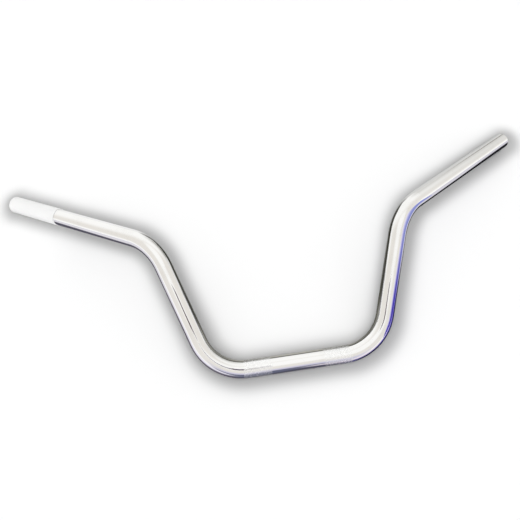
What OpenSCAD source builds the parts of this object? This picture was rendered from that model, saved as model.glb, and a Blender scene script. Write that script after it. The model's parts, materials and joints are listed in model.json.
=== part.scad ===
// Bent-tube handlebar with a slip-on throttle sleeve, lying as it comes to rest.
//
// The bar is one length of thin-walled steel tube, bent four times. From the clamp zone in the
// middle each side turns up into a riser, then out, back and slightly down into a grip.
// Millimetres. The origin is the middle of the clamp zone, on the tube's axis. +X runs along
// the clamp zone, towards the bare end. +Z is up: the bar lies on its clamp zone and on both
// tips, with the upper bends clear of the surface. +Y points from the clamp zone to the tips.

/* [Tube] */
// Outside diameter of the tube
tube_od = 22.2; // [19:0.1:25.4]
// Wall of the tube
tube_wall = 2; // [1.5:0.1:3]
// Chamfer inside and outside each cut end
end_chamfer = 0.5; // [0.2:0.1:0.6]

/* [Clamp zone] */
// Straight tube between the two lower bends
centre_len = 125; // [90:1:160]
// Smooth tube between the two knurled bands
smooth_len = 67.5; // [40:0.5:76]
// Length of each knurled band, which may run into the start of its bend
knurl_len = 34.5; // [20:0.5:40]
// Grooves round each knurled band, an even number
knurl_count = 48; // [24:2:60]
// Depth of the knurl's grooves, which are right-angled notches
knurl_depth = 0.35; // [0.1:0.05:0.4]

/* [Bends] */
// Radius of each lower bend, to the tube's axis
lower_bend_r = 60; // [50:1:90]
// Turn of each lower bend, from the clamp zone to the riser
lower_bend_angle = 73.4; // [60:0.1:85]
// Radius of each upper bend, to the tube's axis
upper_bend_r = 62; // [50:1:90]

/* [Risers and grips] */
// Straight tube between the lower and the upper bend
riser_len = 104; // [40:1:200]
// Slope of each grip against the clamp zone, seen from in front
grip_rise = 23.4; // [10:0.1:35]
// Angle by which each grip sweeps back, out of the risers' plane
grip_sweep = 24.3; // [10:0.1:40]
// Straight tube of each grip, from the upper bend to the tip
grip_len = 214; // [120:1:260]

/* [Throttle sleeve] */
// Length of the sleeve on the throttle side
sleeve_len = 86; // [50:1:115]
// Wall of the sleeve
sleeve_wall = 0.5; // [0.4:0.1:1.5]
// Gap between the tube and the sleeve's bore, on the radius
sleeve_clearance = 0.04; // [0.02:0.01:0.2]
// Chamfer round each end of the sleeve
sleeve_chamfer = 0.2; // [0.1:0.05:0.3]

/* [Hidden] */
$fn = 96;

chrome_colour = [0.88, 0.89, 0.9];
sleeve_colour = [0.97, 0.97, 0.96];

// How far a cutter stands out of what it cuts
over = 0.15;

// The clamp zone and the bends are exactly the tube's size. The risers and the grips are a hair
// fatter, outside and in the bore, and taper into the bends, so that they overlap them cleanly.
swell = 0.01;
run_in = 0.3;
run_in_taper = 0.03;

tube_r = tube_od / 2;
bore_r = tube_r - tube_wall;
grip_r = tube_r + swell;
grip_bore_r = bore_r + swell;
sleeve_bore_r = grip_r + sleeve_clearance;
sleeve_r = sleeve_bore_r + sleeve_wall;

// The band starts on the straight tube and may end inside the lower bend
knurl_from = smooth_len / 2;
knurl_straight = min(knurl_len, centre_len / 2 - knurl_from);
knurl_bend_angle = (knurl_len - knurl_straight) / lower_bend_r * 180 / PI;

// Directions of the right-hand side while the bar is held upright: X along the clamp zone,
// Y backwards and Z upwards. The last two lie across the riser.
riser_dir = [cos(lower_bend_angle), 0, sin(lower_bend_angle)];
grip_dir = [cos(grip_rise) * cos(grip_sweep), sin(grip_sweep), sin(grip_rise) * cos(grip_sweep)];
across_inward = [-sin(lower_bend_angle), 0, cos(lower_bend_angle)];
across_forward = [0, -1, 0];

// The upper bend turns the riser's direction into the grip's, in the plane of both
upper_bend_angle = acos(grip_dir * riser_dir);
upper_bend_turn = atan2(grip_dir * across_forward, grip_dir * across_inward);

// The tip, from the corners where the straight lengths would meet without their bends
lower_tangent = lower_bend_r * tan(lower_bend_angle / 2);
upper_tangent = upper_bend_r * tan(upper_bend_angle / 2);
tip = [centre_len / 2 + lower_tangent, 0, 0]
    + (lower_tangent + riser_len + upper_tangent) * riser_dir
    + (upper_tangent + grip_len) * grip_dir;

// Lying down, the bar leans on its clamp zone and on the tips' lowest points. The sleeved tip
// is the fatter one, so it is the one that meets the surface.
level_lean = atan2(tip.y, tip.z);
grip_drop = asin(cos(level_lean) * grip_dir.y - sin(level_lean) * grip_dir.z);
tip_lift = sleeve_r * cos(grip_drop) - tube_r;
rest_lean = level_lean + asin(tip_lift / norm([tip.y, tip.z]));

// Lays what was made in the upright bar's frame down on the surface
module laid_down() {
    rotate([rest_lean - 90, 0, 0]) children();
}

// Each place on the right-hand side, with +Z along the tube there and +X towards the inside
// of the next bend
module at_lower_bend() {
    translate([centre_len / 2, 0, 0]) rotate([0, 90, 0]) rotate([0, 0, 180]) children();
}

module past_bend(radius, angle) {
    translate([radius, 0, 0]) rotate([0, angle, 0]) translate([-radius, 0, 0]) children();
}

module at_riser() {
    at_lower_bend() past_bend(lower_bend_r, lower_bend_angle) children();
}

module at_upper_bend() {
    at_riser() translate([0, 0, riser_len]) rotate([0, 0, upper_bend_turn]) children();
}

module at_grip() {
    at_upper_bend() past_bend(upper_bend_r, upper_bend_angle) children();
}

// Sweeps a section that has half-turn symmetry round a bend, from +Z towards +X
module swept_bend(radius, angle) {
    translate([radius, 0, 0]) mirror([1, 0, 0]) rotate([90, 0, 0])
        rotate_extrude(angle = angle) translate([radius, 0]) children();
}

// A riser as solid rod, with a slight taper that runs into the bend at each end
module riser_rod(riser_r) {
    rotate_extrude() polygon([
        [0, -run_in],
        [riser_r - run_in_taper, -run_in],
        [riser_r, 0],
        [riser_r, riser_len],
        [riser_r - run_in_taper, riser_len + run_in],
        [0, riser_len + run_in]
    ]);
}

// The right-hand side of a solid rod along the bar's line, from the clamp zone to the grip
module side_rod(rod_r) {
    at_lower_bend() swept_bend(lower_bend_r, lower_bend_angle) circle(r = rod_r);
    at_riser() riser_rod(rod_r + swell);
    at_upper_bend() swept_bend(upper_bend_r, upper_bend_angle) circle(r = rod_r);
}

// The same rod through the clamp zone and both sides
module rod(rod_r) {
    translate([-centre_len / 2, 0, 0]) rotate([0, 90, 0]) cylinder(r = rod_r, h = centre_len);
    side_rod(rod_r);
    mirror([1, 0, 0]) side_rod(rod_r);
}

// The outside of a grip, with the edge of its cut end eased
module grip_outside() {
    rotate_extrude() polygon([
        [0, -run_in],
        [grip_r - run_in_taper, -run_in],
        [grip_r, 0],
        [grip_r, grip_len - end_chamfer],
        [grip_r - end_chamfer, grip_len],
        [0, grip_len]
    ]);
}

// The bore of a grip, with its mouth eased in the same way
module grip_bore() {
    rotate_extrude() polygon([
        [0, -run_in],
        [grip_bore_r - run_in_taper, -run_in],
        [grip_bore_r, 0],
        [grip_bore_r, grip_len - end_chamfer],
        [grip_bore_r + end_chamfer + over, grip_len + over],
        [0, grip_len + over]
    ]);
}

// Section through the knurl's grooves: a right-angled notch at every step round the tube
module groove_section() {
    for (i = [0 : knurl_count - 1])
        rotate(i * 360 / knurl_count) translate([tube_r, 0]) polygon([
            [-knurl_depth, 0],
            [over, -knurl_depth - over],
            [over, knurl_depth + over]
        ]);
}

// The grooves of the right-hand band, rolled before bending, so they follow the bend's start
module knurl_grooves() {
    at_lower_bend() {
        translate([0, 0, knurl_from - centre_len / 2])
            linear_extrude(knurl_straight) groove_section();
        if (knurl_bend_angle > 0)
            swept_bend(lower_bend_r, knurl_bend_angle) groove_section();
    }
}

// The whole bar, one piece of tube
module bar_tube() {
    color(chrome_colour) laid_down() difference() {
        union() {
            rod(tube_r);
            at_grip() grip_outside();
            mirror([1, 0, 0]) at_grip() grip_outside();
        }
        union() {
            rod(bore_r);
            at_grip() grip_bore();
            mirror([1, 0, 0]) at_grip() grip_bore();
        }
        knurl_grooves();
        mirror([1, 0, 0]) knurl_grooves();
    }
}

// Thin white sleeve on the throttle side, flush with the tube's cut end
module throttle_sleeve() {
    color(sleeve_colour) laid_down() mirror([1, 0, 0]) at_grip()
        translate([0, 0, grip_len - sleeve_len]) rotate_extrude() polygon([
            [sleeve_bore_r, 0],
            [sleeve_r - sleeve_chamfer, 0],
            [sleeve_r, sleeve_chamfer],
            [sleeve_r, sleeve_len - sleeve_chamfer],
            [sleeve_r - sleeve_chamfer, sleeve_len],
            [sleeve_bore_r, sleeve_len]
        ]);
}

bar_tube();
throttle_sleeve();
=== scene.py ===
# %% [markdown]
# # A chromed handlebar, lying on a white ground
#
# The real thing is one length of steel tube, bent four times, polished and chrome plated. A thin
# white plastic sleeve sits on one end, for the throttle to turn on. The solid model brings
# both pieces at their true size, so nothing here changes a shape. What is left to make is how
# they look: a mirror finish, two rolled grip bands, bare steel inside the bore, soft white
# plastic, and the kind of room that chrome needs round it before it reads as chrome.

import json
import math

import bpy
from mathutils import Color, Matrix, Vector
from mathutils.bvhtree import BVHTree

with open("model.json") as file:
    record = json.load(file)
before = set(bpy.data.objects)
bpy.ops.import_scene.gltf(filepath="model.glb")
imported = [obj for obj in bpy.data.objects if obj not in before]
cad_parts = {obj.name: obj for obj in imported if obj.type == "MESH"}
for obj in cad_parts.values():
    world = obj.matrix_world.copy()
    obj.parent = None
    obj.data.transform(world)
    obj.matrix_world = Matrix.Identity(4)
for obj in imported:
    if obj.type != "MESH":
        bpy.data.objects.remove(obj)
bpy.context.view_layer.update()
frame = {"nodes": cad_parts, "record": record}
scene = bpy.context.scene
scene.view_settings.view_transform = "Standard"
bar = frame["nodes"]["bar_tube"]
sleeve = frame["nodes"]["throttle_sleeve"]
print("nodes:", sorted(frame["nodes"]))

# %% [markdown]
# ## Where the bar's features are
#
# A finish that changes along the bar has to know where it is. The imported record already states
# the tube's radius, its clamp zone, its grips and its bore as mounts, so they are read from
# there. What no mount states is given here: the corners where the straight lengths would meet
# if there were no bends, and the two knurled bands. Each band starts on the straight tube and
# ends a few millimetres into its bend, so its end is square to the tube there and leans a
# little. The two sides mirror each other, so only the side towards +X is described.

# %% Read the mounts
mounts = {mount["name"]: mount for mount in frame["record"]["mounts"]}
bore_mount = mounts["bar_end_bore"]
tube_r = mounts["handlebar_clamp"]["dims"]["r_mm"] / 1000
bore_r = bore_mount["dims"]["r_mm"] / 1000
grip_middle = Vector(bore_mount["pos_m"])
grip_dir = Vector(bore_mount["axis"])
grip_half = bore_mount["dims"]["length_mm"] / 2000
grip_tip = grip_middle + grip_half * grip_dir
floor_z = -tube_r
print("grip tip:", [round(1000 * c, 1) for c in grip_tip], "mm")

# %% Corners and bands
centre_half = 0.0625
lower_bend_r = 0.060
lower_corner = Vector((0.1072, 0.0, 0.0))
corner_to_grip_middle = 0.1387
upper_corner = grip_middle - corner_to_grip_middle * grip_dir
riser_dir = (upper_corner - lower_corner).normalized()
band_from = 0.03375
band_in_bend = 0.00575
band_turn = band_in_bend / lower_bend_r
into_bend = Vector((0.0, riser_dir.y, riser_dir.z)).normalized()
band_end_dir = Vector((math.cos(band_turn), 0.0, 0.0)) + math.sin(band_turn) * into_bend
bend_centre = Vector((centre_half, 0.0, 0.0)) + lower_bend_r * into_bend
band_end = bend_centre.dot(band_end_dir)
print("upper corner:", [round(1000 * c, 1) for c in upper_corner], "mm")

# %% [markdown]
# ## The camera
#
# The bar lies on the ground and the camera looks down on it, from a little in front of the
# clamp zone. The eye and the point it looks at are given as places, which are easier to read
# and to change than three turns. A short roll about the view's own axis is added last.

# %% Aim a camera
eye = Vector((-0.0538, -0.0740, 0.5795))
look_at = Vector((-0.0262, 0.1475, floor_z))
camera_roll = math.radians(-1.35)
lens_mm = 31.1


def aimed(place, target, roll=0.0):
    """The matrix of something at place that looks along its own -Z at target."""
    turn = (target - place).to_track_quat("-Z", "Y").to_matrix().to_4x4()
    return Matrix.Translation(place) @ turn @ Matrix.Rotation(roll, 4, "Z")


camera = bpy.data.objects.new("camera", bpy.data.cameras.new("camera"))
camera.data.lens = lens_mm
camera.matrix_world = aimed(eye, look_at, camera_roll)
scene.collection.objects.link(camera)
scene.camera = camera
print("camera axes:", [[round(c, 3) for c in row] for row in camera.matrix_world.to_3x3()])

# %% [markdown]
# ## Short names for shader nodes
#
# Every finish below is a small graph of nodes. A few helpers keep each one readable. One adds a
# node with its settings and inputs, others do a sum on numbers or vectors, one fades between two
# values, and one blends two colours. Colours are chosen as they look on a screen, from 0 to 255,
# and turned into the linear light that a shader works in.

# %% Colours, materials and nodes


def screen_colour(red, green, blue):
    """Linear red, green and blue for a colour given as a screen shows it."""
    return tuple(Color((red / 255, green / 255, blue / 255)).from_srgb_to_scene_linear())


def new_material(name):
    """A material with only an output node, with that node and its tree."""
    material = bpy.data.materials.new(name)
    material.use_nodes = True
    tree = material.node_tree
    tree.nodes.clear()
    return material, tree, tree.nodes.new("ShaderNodeOutputMaterial")


def feed(tree, given, socket):
    """Links a socket to given, or fills it in if given is a plain value."""
    if isinstance(given, bpy.types.NodeSocket):
        tree.links.new(given, socket)
    else:
        socket.default_value = given


def add(tree, kind, settings=None, **inputs):
    """A shader node. Its inputs are given by name, or as i and a number, and linked or filled in."""
    node = tree.nodes.new("ShaderNode" + kind)
    for key, value in (settings or {}).items():
        setattr(node, key, value)
    for key, value in inputs.items():
        numbered = key[0] == "i" and key[1:].isdigit()
        feed(tree, value, node.inputs[int(key[1:]) if numbered else key.replace("_", " ")])
    return node


print("mid grey in linear light:", round(screen_colour(128, 128, 128)[0], 3))

# %% Sums, fades and blends


def calc(tree, operation, *values):
    """The result of one sum on numbers or sockets."""
    node = add(tree, "Math", {"operation": operation})
    for socket, value in zip(node.inputs, values):
        feed(tree, value, socket)
    return node.outputs[0]


def fade(tree, value, low, high, start=0.0, end=1.0):
    """A number that goes smoothly from start to end while value goes from low to high."""
    node = add(tree, "MapRange", {"interpolation_type": "SMOOTHSTEP"})
    for name, given in zip(("Value", "From Min", "From Max", "To Min", "To Max"),
                           (value, low, high, start, end)):
        feed(tree, given, node.inputs[name])
    return node.outputs["Result"]


def blend_colours(tree, share, first, second):
    """first where share is 0, second where it is 1. A colour is a socket, or red, green and blue."""
    node = add(tree, "Mix", {"data_type": "RGBA"}, i0=share)
    for socket, given in ((node.inputs[6], first), (node.inputs[7], second)):
        feed(tree, (*given, 1.0) if isinstance(given, tuple) else given, socket)
    return node.outputs[2]


def on_vectors(tree, operation, *values):
    """The vector that one sum on vectors gives. A fixed vector may be given as it is."""
    node = add(tree, "VectorMath", {"operation": operation})
    for socket, value in zip(node.inputs, values):
        feed(tree, tuple(value) if isinstance(value, Vector) else value, socket)
    return node.outputs["Vector"]


def dot(tree, vector, direction):
    """How far a vector socket reaches along a fixed direction."""
    node = add(tree, "VectorMath", {"operation": "DOT_PRODUCT"}, i0=vector, i1=tuple(direction))
    return node.outputs["Value"]


def coordinates(tree):
    """The place of each point in the bar's own frame, in metres."""
    return tree.nodes.new("ShaderNodeTexCoord").outputs["Object"]


print("helpers:", [helper.__name__ for helper in (calc, fade, blend_colours, on_vectors, dot)])

# %% [markdown]
# ## The ground
#
# The ground is a plain white sheet. It could be an emitter, but then it would carry no shade,
# and the soft grey halo round the bar is what seats it. So it is a matt white surface, lit so
# that it renders as white where nothing is in the way.
#
# Light alone gives too weak a halo here. On such product pictures the shade follows the
# whole outline at one width, from the clamp zone that touches the ground to the bends that are
# 80 mm above it, and no single lamp does that. So the sheet also carries a shade of its own.
# It could be drawn by hand, but the outline is there to be measured: every piece is flattened
# onto the ground along straight lines from the lamp, and each point of a fine grid asks how
# far it is from that flat shape. The answer is kept on the grid as an attribute, which its
# material reads as a grey.

# %% Flatten the outline
lamp_place = eye


def cast_flat(node, source, height):
    """The corners and faces of a piece, cast from a source of light onto a level surface."""
    corners = []
    for vertex in node.data.vertices:
        ray = node.matrix_world @ vertex.co - source
        corners.append(source + ray * ((height - source.z) / ray.z))
    return corners, [tuple(face.vertices) for face in node.data.polygons]


flat_corners, flat_faces = [], []
for piece in (bar, sleeve):
    corners, faces = cast_flat(piece, lamp_place, floor_z)
    flat_faces += [tuple(index + len(flat_corners) for index in face) for face in faces]
    flat_corners += corners
flat_shape = BVHTree.FromPolygons(flat_corners, flat_faces)
print("flattened faces:", len(flat_faces))

# %% Grids


def grid_lines(low, high, cell, far):
    """Even lines from low to high, with one more far out on each side."""
    count = math.ceil((high - low) / cell)
    return [-far] + [low + step * (high - low) / count for step in range(count + 1)] + [far]


def grid_sheet(name, xs, ys, z):
    """A level sheet of four-cornered cells between lines at xs and ys."""
    corners = [(x, y, z) for y in ys for x in xs]
    wide = len(xs)
    cells = [(row * wide + col, row * wide + col + 1, (row + 1) * wide + col + 1, (row + 1) * wide + col)
             for row in range(len(ys) - 1) for col in range(wide - 1)]
    mesh = bpy.data.meshes.new(name)
    mesh.from_pydata(corners, [], cells)
    sheet = bpy.data.objects.new(name, mesh)
    scene.collection.objects.link(sheet)
    return sheet


print("lines of a short grid:", grid_lines(0.0, 0.1, 0.05, 1.0))

# %% Ground sheet
floor_half = 4.0
shaded_from = Vector((-0.46, -0.08))
shaded_to = Vector((0.46, 0.38))
shade_cell = 0.004
shade_depth = 0.455
shade_reach = 0.0143
shade_shift = Vector((0.0040, -0.0036, 0.0))


def shade_at(point):
    """How white the sheet is at a point, from its distance to the flattened outline."""
    distance = flat_shape.find_nearest(point - shade_shift)[3]
    return 1.0 - shade_depth * math.exp(-(distance / shade_reach) ** 2)


floor = grid_sheet(
    "floor",
    grid_lines(shaded_from.x, shaded_to.x, shade_cell, floor_half),
    grid_lines(shaded_from.y, shaded_to.y, shade_cell, floor_half),
    floor_z,
)
shades = [shade_at(vertex.co) for vertex in floor.data.vertices]
floor.data.attributes.new("shade", "FLOAT", "POINT").data.foreach_set("value", shades)
print("ground cells:", len(floor.data.polygons), "darkest:", round(min(shades), 2))

# %% White ground
paper, tree, out = new_material("white_ground")
painted = add(tree, "Attribute", {"attribute_name": "shade"}).outputs["Fac"]
matt = add(tree, "BsdfDiffuse", Color=blend_colours(tree, painted, (0.0, 0.0, 0.0), (1.0, 1.0, 1.0)))
tree.links.new(matt.outputs[0], out.inputs["Surface"])
floor.data.materials.append(paper)

# %% [markdown]
# ## The light
#
# Two lights make the sheet white. The world is an even white dome, which darkens the ground
# where the tube is close to it. A round soft lamp stands at the camera, so the shade that it
# casts falls behind the tube as the camera sees it, the same on both sides. A lamp so near
# would light the middle of the ground more than its edges, so its falloff is taken out.
#
# The dome gives matt surfaces an even white light. What the chrome sees of it is another
# matter, and Light Path tells the two apart: a ray that comes off a mirror gets the room below,
# and a ray that comes off a mirror after lighting the ground gets nothing, so that the tube
# doesn't throw bright streaks into its own shade.
#
# The room that mirrors see is a painted reflection: only mirror-like rays meet its colours, while
# matt surfaces get the dome's even white. It isn't the same white all round. It is whitest on the
# far side, overhead and near the horizon, and duller between them. Each of those three fades runs
# between two shares of a ray's direction, along +Y for the far side and along +Z for the others.
# Low down it holds a few soft painted patches that stand for dull things in front and behind. A
# patch is given by its compass direction, its half width, how high it reaches and how soft its edge is,
# all in degrees, and by its colour.

# %% Colours of the room
# Colours of a painted reflection: the room as only mirror-like rays see it.
sky_dull = screen_colour(234, 231, 226)
sky_white = screen_colour(255, 255, 254)
far_side_whitens = (0.1, 0.7)
overhead_whitens = (0.82, 0.97)
horizon_dulls = (0.08, 0.32)
sky_patches = {
    "painted reflection of a dull wall behind on the right": (44, 26, 24, 36, screen_colour(212, 211, 208)),
    "painted reflection of a dull thing behind on the right": (42, 16, 4, 8, screen_colour(105, 101, 92)),
    "painted reflection of a dull thing behind on the left": (-46, 12, 3, 8, screen_colour(176, 174, 164)),
    "painted reflection of a dull thing in front, upper part": (182, 26, 30, 26, screen_colour(204, 202, 224)),
    "painted reflection of a dull thing in front, lower part": (190, 20, 10, 14, screen_colour(100, 102, 122)),
}
print("sky patches:", len(sky_patches))

# %% The room all round


def sky_patch(tree, ray_dir, level_dir, azimuth, half_width, top, soft):
    """1 in a patch of sky that stands on the horizon, 0 outside. Angles are in degrees."""
    turn = math.radians(azimuth)
    facing = dot(tree, level_dir, (math.sin(turn), math.cos(turn), 0.0))
    inner, outer = (math.cos(math.radians(half_width + s * soft / 2)) for s in (-1, 1))
    across = fade(tree, facing, outer, inner)
    low, high = (math.sin(math.radians(top + s * soft / 2)) for s in (-1, 1))
    upwards = fade(tree, dot(tree, ray_dir, (0.0, 0.0, 1.0)), low, high, 1.0, 0.0)
    return calc(tree, "MULTIPLY", across, upwards)


world = bpy.data.worlds.new("white_room")
scene.world = world
world.use_nodes = True
tree = world.node_tree
tree.nodes.clear()
ray_dir = tree.nodes.new("ShaderNodeTexCoord").outputs["Generated"]
flattened = on_vectors(tree, "MULTIPLY", ray_dir, (1.0, 1.0, 0.0))
level_dir = on_vectors(tree, "NORMALIZE", flattened)
upwards = dot(tree, ray_dir, (0.0, 0.0, 1.0))
far_side = fade(tree, dot(tree, ray_dir, (0.0, 1.0, 0.0)), *far_side_whitens)
overhead = fade(tree, upwards, *overhead_whitens)
low_down = fade(tree, upwards, *horizon_dulls, 1.0, 0.0)
whiter = calc(tree, "MAXIMUM", far_side, calc(tree, "MAXIMUM", overhead, low_down))
# Painted reflection of the room: these colours reach only mirror-like rays.
reflected_room_colour = blend_colours(tree, whiter, sky_dull, sky_white)
for azimuth, half_width, top, soft, colour in sky_patches.values():
    patch = sky_patch(tree, ray_dir, level_dir, azimuth, half_width, top, soft)
    reflected_room_colour = blend_colours(tree, patch, reflected_room_colour, colour)
print("room nodes:", len(tree.nodes))

# %% Dome
dome_share = 0.65
light_level = 1.03
ray = tree.nodes.new("ShaderNodeLightPath")
mirrored = calc(tree, "MAXIMUM", ray.outputs["Is Glossy Ray"], ray.outputs["Is Transmission Ray"])
bounced = calc(tree, "GREATER_THAN", ray.outputs["Diffuse Depth"], 0.5)
spilled = calc(tree, "MULTIPLY", mirrored, bounced)
dome_strength = calc(tree, "MULTIPLY", light_level * dome_share, calc(tree, "SUBTRACT", 1.0, spilled))
dome_light = add(tree, "Background", Color=(1.0, 1.0, 1.0, 1.0), Strength=dome_strength)
backdrop = add(tree, "Background", Color=(1.0, 1.0, 1.0, 1.0), Strength=1.0)
# The painted room that mirrors see, apart from the dome's white light.
room = add(tree, "Background", Color=reflected_room_colour, Strength=1.0)
mirror_direct = calc(tree, "SUBTRACT", mirrored, spilled)
for_camera = add(tree, "MixShader", i0=ray.outputs["Is Camera Ray"], i1=dome_light.outputs[0],
                 i2=backdrop.outputs[0])
for_mirror = add(tree, "MixShader", i0=mirror_direct, i1=for_camera.outputs[0], i2=room.outputs[0])
tree.links.new(for_mirror.outputs[0], tree.nodes.new("ShaderNodeOutputWorld").inputs["Surface"])
print("dome share:", dome_share)

# %% Lamp at the camera
lamp_r = 0.16
lamp_height = lamp_place.z - floor_z
lamp = bpy.data.objects.new("soft_lamp", bpy.data.lights.new("soft_lamp", "POINT"))
lamp.location = lamp_place
lamp.data.shadow_soft_size = lamp_r
lamp.data.energy = 1.0
lamp.visible_glossy = False
lamp.data.use_nodes = True
tree = lamp.data.node_tree
lamp_strength = 4 * math.pi ** 2 * light_level * (1.0 - dome_share) / lamp_height
even = add(tree, "LightFalloff", Strength=lamp_strength)
reach = tree.nodes.new("ShaderNodeLightPath").outputs["Ray Length"]
even_on_ground = calc(tree, "MULTIPLY", even.outputs["Constant"], reach)
tree.links.new(even_on_ground, tree.nodes["Emission"].inputs["Strength"])
scene.collection.objects.link(lamp)
print("lamp height:", round(lamp_height, 3), "m")

# %% [markdown]
# ## What the chrome sees
#
# Chrome has no colour of its own to show. It is a picture of its room, bent round a tube, so
# the room is what has to be made. Looking down at 69 degrees, a level tube shows white sky
# over its middle, and the ground only in two thin stripes along its edges. The stripe towards
# the camera starts 57% of the way out, and the far one 82% of the way out. Dark stripes there
# are what makes a white tube read as polished metal, as a photographer knows who lays dark
# cards round it.
#
# So a card lies just over the ground. It glows with colours of its own, and only mirror-like
# reflections see it, not the camera and not the light, so the ground that the tube shows is a
# painted reflection, dark in many places where the real sheet is white. It is painted beside
# each straight length of the bar: one colour close to the tube, how far that colour reaches at
# either end of the length, and the colour further out.
# A mirror high above the ground sees further, so on the outside of a riser the reach grows as
# the riser climbs, and the stripe keeps its width. Where two lengths meet, their colours run
# together. A few patches further off have a colour of their own, such as a pale gap out past
# each lower bend, which parts the stripe of the clamp zone from the risers' own.

# %% Lengths of the bar on the ground
lengths = {
    "centre": (Vector((-centre_half, 0.0)), Vector((centre_half, 0.0))),
    "right riser": (lower_corner.xy, upper_corner.xy),
    "right grip": (upper_corner.xy, grip_tip.xy),
}
other_side = Vector((-1.0, 1.0))
for part in ("riser", "grip"):
    lengths["left " + part] = tuple(end * other_side for end in lengths["right " + part])
print("lengths:", list(lengths))

# %% Colours on the card
# Painted reflection: what mirrors see of the ground close to each length and further out.
beside = {
    "centre": {"inside": ((176, 175, 168), 0.040, 0.040, (172, 171, 164)),
               "outside": ((82, 81, 94), 0.055, 0.055, (128, 128, 152))},
    "right riser": {"inside": ((84, 84, 76), 0.050, 0.040, (34, 34, 29)),
                    "outside": ((40, 38, 62), 0.030, 0.160, (66, 56, 172))},
    "left riser": {"inside": ((92, 92, 86), 0.050, 0.040, (34, 34, 30)),
                   "outside": ((92, 86, 100), 0.045, 0.120, (230, 228, 230))},
    "right grip": {"inside": ((192, 192, 192), 0.050, 0.050, (214, 214, 213)),
                   "outside": ((36, 35, 40), 0.070, 0.055, (214, 212, 222))},
    "left grip": {"inside": ((206, 206, 205), 0.050, 0.050, (246, 246, 246)),
                  "outside": ((88, 86, 98), 0.085, 0.065, (224, 222, 230))},
}
patches = {
    "pale gap on the right": ((0.10, -0.10), (0.16, -0.22), (238, 230, 240)),
    "pale gap on the left": ((-0.15, -0.06), (-0.24, -0.14), (236, 234, 248)),
    "painted dull reflection before the left band": ((-0.055, -0.06), (-0.06, -0.24), (98, 102, 126)),
    "painted dark reflection between the risers": ((-0.07, 0.19), (0.07, 0.19), (60, 60, 54)),
}
change_over = 1.3
run_together = 0.012
print("lengths and patches:", len(beside) + len(patches))

# %% The card's colour at a point


def beside_length(point, ends):
    """How far a point on the ground is from a straight length of the bar, and how far along it."""
    start, end = ends
    along = end - start
    share = max(0.0, min(1.0, (point - start).dot(along) / along.length_squared))
    return (point - start - share * along).length, share


def is_inside(point):
    """Whether a point lies on the side of the bar that the grips point to."""
    x = abs(point.x)
    if x < lower_corner.x:
        return point.y > 0.0
    start, end = (lower_corner, upper_corner) if x < upper_corner.x else (upper_corner, grip_tip)
    return point.y > start.y + (x - start.x) * (end.y - start.y) / (end.x - start.x)


def card_paints(point):
    """Each colour that the card could have at a point, with how far off it belongs."""
    side = "inside" if is_inside(point) else "outside"
    paints = []
    for name, ends in lengths.items():
        near, reach_from, reach_to, far = beside[name][side]
        distance, share = beside_length(point, ends)
        reach = reach_from + share * (reach_to - reach_from)
        changed = max(0.0, min(1.0, (distance / reach - 1.0) / (change_over - 1.0)))
        paints.append((distance, Vector(screen_colour(*near)).lerp(screen_colour(*far), changed)))
    for start, end, colour in patches.values():
        distance, _ = beside_length(point, (Vector(start), Vector(end)))
        paints.append((distance, Vector(screen_colour(*colour))))
    return paints


def card_colour(point):
    """The card's colour, blended by how near each length of the bar and each patch is."""
    paints = card_paints(point)
    nearest = min(distance for distance, _ in paints)
    weights = [math.exp((nearest - distance) / run_together) for distance, _ in paints]
    blended = Vector((0.0, 0.0, 0.0))
    for weight, (_, colour) in zip(weights, paints):
        blended += weight * colour
    return blended / sum(weights)


print("under the clamp zone:", [round(c, 3) for c in card_colour(Vector((0.0, 0.0)))])

# %% Ground card
card_lift = 0.0002
card_half = 3.0
painted_x = (-0.6, 0.6)
painted_y = (-0.4, 0.6)
card_cell = 0.006
card = grid_sheet(
    "ground_card",
    grid_lines(*painted_x, card_cell, card_half),
    grid_lines(*painted_y, card_cell, card_half),
    floor_z + card_lift,
)
colours = card.data.color_attributes.new("paint", "FLOAT_COLOR", "POINT")
for vertex, spot in zip(card.data.vertices, colours.data):
    spot.color = (*card_colour(vertex.co.xy), 1.0)


def only_for_mirrors(sheet):
    """Hides a piece of the stage from everything but mirror-like reflections."""
    for kind in ("camera", "diffuse", "transmission", "shadow", "volume_scatter"):
        setattr(sheet, "visible_" + kind, False)


# The card glows with its painted colours, a painted reflection that only mirrors see.
painted_reflection_card, tree, out = new_material("painted_reflection_card")
paint = add(tree, "Attribute", {"attribute_name": "paint"}).outputs["Color"]
glow = add(tree, "Emission", Color=paint, Strength=1.0)
tree.links.new(glow.outputs[0], out.inputs["Surface"])
card.data.materials.append(painted_reflection_card)
only_for_mirrors(card)
print("card cells:", len(card.data.polygons))

# %% [markdown]
# ## A glowing cloth and two glowing strips, seen only in reflections
#
# Two more kinds of card stand in the room. A blue cloth, a sheet that glows for mirror-like
# reflections only, stands to the right of the bar, and gives the riser on that side its blue
# stripe, a painted reflection: deep blue low down and in front, paler higher up and further back.
# Only what is near it sees it, so the other riser keeps its plain grey edge.
#
# Two narrow dark strips hang at the height of the eye and run from it in a V, away from the
# grips. They glow, and only mirror-like reflections see them. Each shows as a painted reflected
# hairline along the middle of one riser, where the tube looks straight back at the camera. A strip
# is given by how far sideways it runs, its half width and its colour.

# %% Blue cloth, a painted reflection


def standing_sheet(name, corners):
    """A sheet of one cell through four corners."""
    mesh = bpy.data.meshes.new(name)
    mesh.from_pydata(corners, [], [tuple(range(len(corners)))])
    sheet = bpy.data.objects.new(name, mesh)
    scene.collection.objects.link(sheet)
    return sheet


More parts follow.
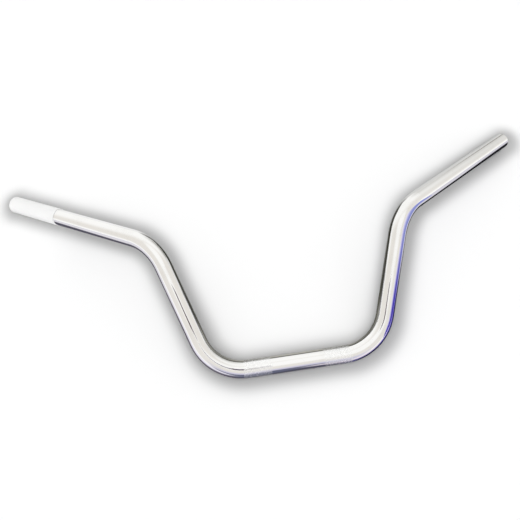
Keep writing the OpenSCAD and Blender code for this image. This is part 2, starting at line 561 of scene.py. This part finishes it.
cloth_x = 0.42
cloth_from = -0.27
cloth_to = 0.13
cloth_top = 0.30
cloth_pales_from = 0.08
cloth_greys_over = (-0.08, 0.10)
cloth_fades_over = (0.47, 0.52)
cloth = standing_sheet("blue_reflection_sheet", [
    (cloth_x, cloth_from, floor_z),
    (cloth_x, cloth_to, floor_z),
    (cloth_x, cloth_to, cloth_top),
    (cloth_x, cloth_from, cloth_top),
])
# The cloth glows for mirrors only: a painted reflection, paler higher up and further back.
blue_glow_material, tree, out = new_material("blue_reflection_glow")
where = add(tree, "SeparateXYZ", Vector=coordinates(tree))
higher = fade(tree, where.outputs["Z"], cloth_pales_from, cloth_top)
farther = fade(tree, where.outputs["Y"], *cloth_greys_over)
blue = blend_colours(tree, farther, screen_colour(66, 52, 176), screen_colour(140, 148, 214))
blue = blend_colours(tree, higher, blue, screen_colour(226, 222, 250))
glow = add(tree, "Emission", Color=blue, Strength=1.0)
nothing = tree.nodes.new("ShaderNodeBsdfTransparent")
reach = tree.nodes.new("ShaderNodeLightPath").outputs["Ray Length"]
too_far = fade(tree, reach, *cloth_fades_over)
seen = add(tree, "MixShader", i0=too_far, i1=glow.outputs[0], i2=nothing.outputs[0])
tree.links.new(seen.outputs[0], out.inputs["Surface"])
cloth.data.materials.append(blue_glow_material)
only_for_mirrors(cloth)
print("cloth from y", cloth_from, "to", cloth_to, "m")

# %% Dark strips at the eye
strips = {
    "strip_for_right_riser": (-0.055, 0.044, screen_colour(84, 58, 52)),
    "strip_for_left_riser": (0.027, 0.020, screen_colour(64, 46, 92)),
}
strip_reach = 0.155
for name, (sideways, half_width, colour) in strips.items():
    strip = standing_sheet(name, [
        (eye.x - half_width, eye.y, eye.z),
        (eye.x + half_width, eye.y, eye.z),
        (eye.x + sideways + half_width, eye.y - strip_reach, eye.z),
        (eye.x + sideways - half_width, eye.y - strip_reach, eye.z),
    ])
    # Each strip glows dark for mirrors only, a painted reflection.
    strip_glow_material, tree, out = new_material(name)
    glow = add(tree, "Emission", Color=(*colour, 1.0), Strength=1.0)
    tree.links.new(glow.outputs[0], out.inputs["Surface"])
    strip.data.materials.append(strip_glow_material)
    only_for_mirrors(strip)
print("dark strips:", len(strips))

# %% [markdown]
# ## Chrome
#
# The plate is a metal with a slightly warm white reflection and almost no roughness. A perfect
# mirror looks drawn, though. Real plate has been handled and wiped, so its gloss is a little
# uneven, and the polished tube under it has slow waves that make the reflections swim. Both come
# from noise, one in the roughness and one in the bump.
#
# The two bands are rolled, not polished, and their grooves are in the solid itself. The finish
# makes them rougher and paler. The solid's grooves have sharp square edges where rolled ones are
# soft, so lit as they stand they would scatter too much light. The shading normal there is eased
# most of the way towards that of the plain round tube, which is worked out from the place of
# each point, with the start of the bend taken as a shallow curve.
#
# The inside of the tube was never plated. It is bare grey steel, and so is the cut end. The
# finish counts a point as inside if it lies nearer to a grip's axis than the middle of the wall,
# along nearly the whole straight length of that grip.

# %% Bands


def mirrored_place(tree):
    """The place of each point with x made positive, so that one rule serves both sides."""
    parts = add(tree, "SeparateXYZ", Vector=coordinates(tree))
    width = calc(tree, "ABSOLUTE", parts.outputs["X"])
    joined = add(tree, "CombineXYZ", X=width, Y=parts.outputs["Y"], Z=parts.outputs["Z"])
    return joined.outputs[0], width


def in_bands(tree, place, width, soft):
    """1 on the knurled bands, 0 elsewhere, with edges as soft as given."""
    started = fade(tree, width, band_from - soft, band_from + soft)
    ended = fade(tree, dot(tree, place, band_end_dir), band_end - soft, band_end + soft, 1.0, 0.0)
    return calc(tree, "MULTIPLY", started, ended)


chrome, tree, out = new_material("chrome")
place, width = mirrored_place(tree)
band_soft = 0.0006
banded = in_bands(tree, place, width, band_soft)
print("a band starts", 1000 * band_from, "mm from the middle")

# %% Bare steel
wall_middle_r = (bore_r + tube_r) / 2
edge_soft = 0.0001
bore_shown = 1.95 * grip_half


def scaled(tree, vector, factor):
    """A fixed vector made longer or shorter by a socket's number."""
    node = add(tree, "VectorMath", {"operation": "SCALE"}, i0=tuple(vector), Scale=factor)
    return node.outputs["Vector"]


def inside_tube(tree, place):
    """1 in the bore of a grip and on its cut end, 0 on the outside."""
    from_tip = on_vectors(tree, "SUBTRACT", place, grip_tip)
    along = dot(tree, from_tip, grip_dir)
    on_axis = scaled(tree, grip_dir, along)
    off_axis = add(tree, "VectorMath", {"operation": "DISTANCE"}, i0=from_tip, i1=on_axis)
    in_bore = fade(tree, off_axis.outputs["Value"], wall_middle_r - edge_soft,
                   wall_middle_r + edge_soft, 1.0, 0.0)
    on_end = calc(tree, "GREATER_THAN", along, -edge_soft)
    near_grip = calc(tree, "GREATER_THAN", along, -bore_shown)
    return calc(tree, "MULTIPLY", near_grip, calc(tree, "MAXIMUM", in_bore, on_end))


bare = inside_tube(tree, place)
print("bare steel in the last", round(1000 * bore_shown, 1), "mm of each bore")

# %% Noise that the finishes share


def noise(tree, scale, detail, roughness=0.5):
    """Smooth noise over the bar, from 0 to 1, with scale spots to the metre."""
    node = add(tree, "TexNoise", Vector=coordinates(tree), Scale=scale, Detail=detail,
               Roughness=roughness)
    return node.outputs["Fac"]


smear_scale = 28.0
speck_scale = 900.0
wave_scale = 22.0
smears = noise(tree, smear_scale, detail=4.0, roughness=0.6)
specks = noise(tree, speck_scale, detail=2.0)
waves = noise(tree, wave_scale, detail=1.0)
print("specks are about", round(1000 / speck_scale, 1), "mm apart")

# %% Colours of plate, bands and bare steel
plate_clean = (0.955, 0.95, 0.94)
plate_wiped = (0.91, 0.905, 0.89)
wiped_over = (0.4, 0.8)
rolled_pale = (0.99, 0.99, 0.985)
rolled_dull = (0.97, 0.97, 0.965)
steel_pale = (0.42, 0.41, 0.40)
steel_dark = (0.30, 0.28, 0.26)
plate = blend_colours(tree, fade(tree, smears, *wiped_over), plate_clean, plate_wiped)
rolled = blend_colours(tree, specks, rolled_pale, rolled_dull)
steel = blend_colours(tree, smears, steel_pale, steel_dark)
colour = blend_colours(tree, bare, blend_colours(tree, banded, plate, rolled), steel)
print("nodes for place and colour:", len(tree.nodes))

# %% Their gloss
plate_roughness = (0.03, 0.09)
rolled_roughness = (0.20, 0.28)
steel_roughness = (0.38, 0.55)
smeared_over = (0.35, 0.75)
specked_over = (0.3, 0.7)


def blend_numbers(tree, share, first, second):
    """first where share is 0, second where it is 1, for plain numbers."""
    return add(tree, "Mix", {"data_type": "FLOAT"}, i0=share, i2=first, i3=second).outputs[0]


plate_gloss = fade(tree, smears, *smeared_over, *plate_roughness)
rolled_gloss = fade(tree, specks, *specked_over, *rolled_roughness)
steel_gloss = fade(tree, specks, *specked_over, *steel_roughness)
outside_gloss = blend_numbers(tree, banded, plate_gloss, rolled_gloss)
gloss = blend_numbers(tree, bare, outside_gloss, steel_gloss)
print("roughness from", plate_roughness[0], "to", steel_roughness[1])

# %% Dull grooves
groove_from = 0.00012
groove_to = 0.00002
groove_dullness = 0.35


def round_tube(tree, place, width):
    """How each point of the clamp zone lies round the tube's axis, as a vector square to it."""
    into = calc(tree, "MAXIMUM", calc(tree, "SUBTRACT", width, centre_half), 0.0)
    drift = calc(tree, "DIVIDE", calc(tree, "MULTIPLY", into, into), 2 * lower_bend_r)
    centred = on_vectors(tree, "SUBTRACT", place, scaled(tree, into_bend, drift))
    return on_vectors(tree, "MULTIPLY", centred, (0.0, 1.0, 1.0))


section = round_tube(tree, place, width)
off_axis = add(tree, "VectorMath", {"operation": "LENGTH"}, i0=section).outputs["Value"]
groove = fade(tree, off_axis, tube_r - groove_from, tube_r - groove_to, 1.0, 0.0)
dulled = calc(tree, "MULTIPLY", calc(tree, "MULTIPLY", banded, groove), groove_dullness)
metallic = calc(tree, "SUBTRACT", 1.0, dulled)
print("a groove's floor is", round(100 * (1.0 - groove_dullness)), "% metal")

# %% Waves, eased bands and grit


def blend_directions(tree, share, first, second):
    """first where share is 0, second where it is 1, for directions."""
    node = add(tree, "Mix", {"data_type": "VECTOR"}, i0=share, i4=first, i5=second)
    return on_vectors(tree, "NORMALIZE", node.outputs[1])


wave_height = 0.0012
wave_strength = 0.12
band_easing = 0.88
grit_height = 0.00006
grit_strength = 0.15
swim = add(tree, "Bump", Strength=wave_strength, Distance=wave_height, Height=waves).outputs[0]
outwards = on_vectors(tree, "NORMALIZE", section)
eased = blend_directions(tree, calc(tree, "MULTIPLY", banded, band_easing), swim, outwards)
grit = calc(tree, "MULTIPLY", specks, calc(tree, "MAXIMUM", banded, bare))
rough = add(tree, "Bump", Strength=grit_strength, Distance=grit_height, Height=grit, Normal=eased)
print("band shading eased by", round(100 * band_easing), "%")

# %% Put the chrome on the tube


def finish_with(piece, material, tree, out, **inputs):
    """Gives a piece one material, whose surface is a Principled shader with these inputs."""
    surface = add(tree, "BsdfPrincipled", **inputs)
    tree.links.new(surface.outputs[0], out.inputs["Surface"])
    piece.data.materials.clear()
    piece.data.materials.append(material)


finish_with(bar, chrome, tree, out, Base_Color=colour, Metallic=metallic, Roughness=gloss,
            Normal=rough.outputs[0])
print("chrome nodes:", len(tree.nodes))

# %% [markdown]
# ## Sleeve plastic
#
# The sleeve is a thin moulded tube in white plastic, matt enough to show no reflection. Its
# surface has a very fine mould grain, and a few broad dull patches where it has been handled.
# Both are noise again. The grain goes into the bump, and the patches into colour and gloss.

# %% Sleeve plastic
plastic, tree, out = new_material("sleeve_plastic")
grain_scale = 1400.0
grain_height = 0.00004
grain_strength = 0.25
handled_scale = 35.0
sleeve_white = (0.995, 0.995, 0.99)
sleeve_handled = (0.975, 0.975, 0.97)
tinted_over = (0.45, 0.75)
dulled_over = (0.35, 0.7)
sleeve_roughness = (0.42, 0.55)
grain = noise(tree, grain_scale, detail=3.0)
handled = noise(tree, handled_scale, detail=3.0)
tint = blend_colours(tree, fade(tree, handled, *tinted_over), sleeve_white, sleeve_handled)
dullness = fade(tree, handled, *dulled_over, *sleeve_roughness)
grained = add(tree, "Bump", Strength=grain_strength, Distance=grain_height, Height=grain)
finish_with(sleeve, plastic, tree, out, Base_Color=tint, Roughness=dullness, Normal=grained.outputs[0])
print("sleeve nodes:", len(tree.nodes))
